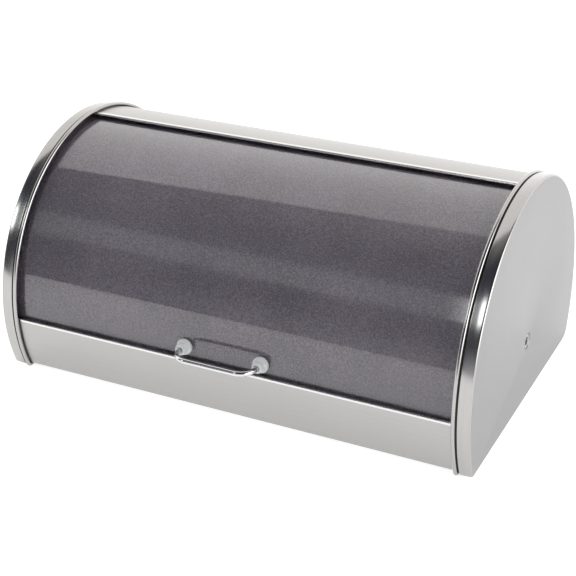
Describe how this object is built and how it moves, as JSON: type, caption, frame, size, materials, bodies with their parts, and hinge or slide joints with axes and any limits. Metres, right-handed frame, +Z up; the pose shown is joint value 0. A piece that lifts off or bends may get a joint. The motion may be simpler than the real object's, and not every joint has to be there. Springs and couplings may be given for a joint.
{
  "type": "bread bin",
  "caption": "Roll-top bread bin in brushed steel, with pressed end caps and a smoked lid that rolls back on side arms by a chrome bow handle.",
  "frame": {"origin": "centre of the bounding box, on the surface that the bin stands on", "axes": "+X along the width to the bin's right as seen from the front, -Y out of the front where the handle is, +Z up"},
  "size_m": [0.39, 0.2722, 0.1826],
  "materials": {
    "cap_steel": "brushed face with a polished rim and bead",
    "shell_steel": "brushed along the width",
    "arm_steel": "mill finish",
    "plated_steel": "bright zinc plate",
    "handle_chrome": "polished chrome",
    "smoked_lid": "smoked acrylic, glossy outside and finely textured inside",
    "spacer_plastic": "satin translucent grey",
    "washer_nylon": "natural nylon",
    "stop_rubber": "matt black",
    "foot_rubber": "matt dark grey"
  },
  "bodies": {
    "shell": {"left_end_cap": "cap_steel", "right_end_cap": "cap_steel", "top_back_panel": "shell_steel", "front_base_panel": "shell_steel", "seam_strip": "shell_steel", "left_pivot_eyelet": "plated_steel", "right_pivot_eyelet": "plated_steel", "left_outer_washer": "washer_nylon", "right_outer_washer": "washer_nylon", "left_inner_washer": "washer_nylon", "right_inner_washer": "washer_nylon", "front_left_stop": "stop_rubber", "front_right_stop": "stop_rubber", "back_left_stop": "stop_rubber", "back_right_stop": "stop_rubber", "front_left_foot": "foot_rubber", "front_right_foot": "foot_rubber", "back_left_foot": "foot_rubber", "back_right_foot": "foot_rubber"},
    "lid": {"lid_panel": "smoked_lid", "left_lid_arm": "arm_steel", "right_lid_arm": "arm_steel", "handle_bar": "handle_chrome", "left_handle_spacer": "spacer_plastic", "right_handle_spacer": "spacer_plastic", "left_handle_washer": "plated_steel", "right_handle_washer": "plated_steel", "left_handle_nut": "plated_steel", "right_handle_nut": "plated_steel"}
  },
  "joints": [
    {"name": "lid_roll", "type": "hinge", "parent": "shell", "child": "lid", "pos_m": [0, 0.0093, 0.0533], "axis": [-1, 0, 0], "range_deg": [0, 84]}
  ]
}
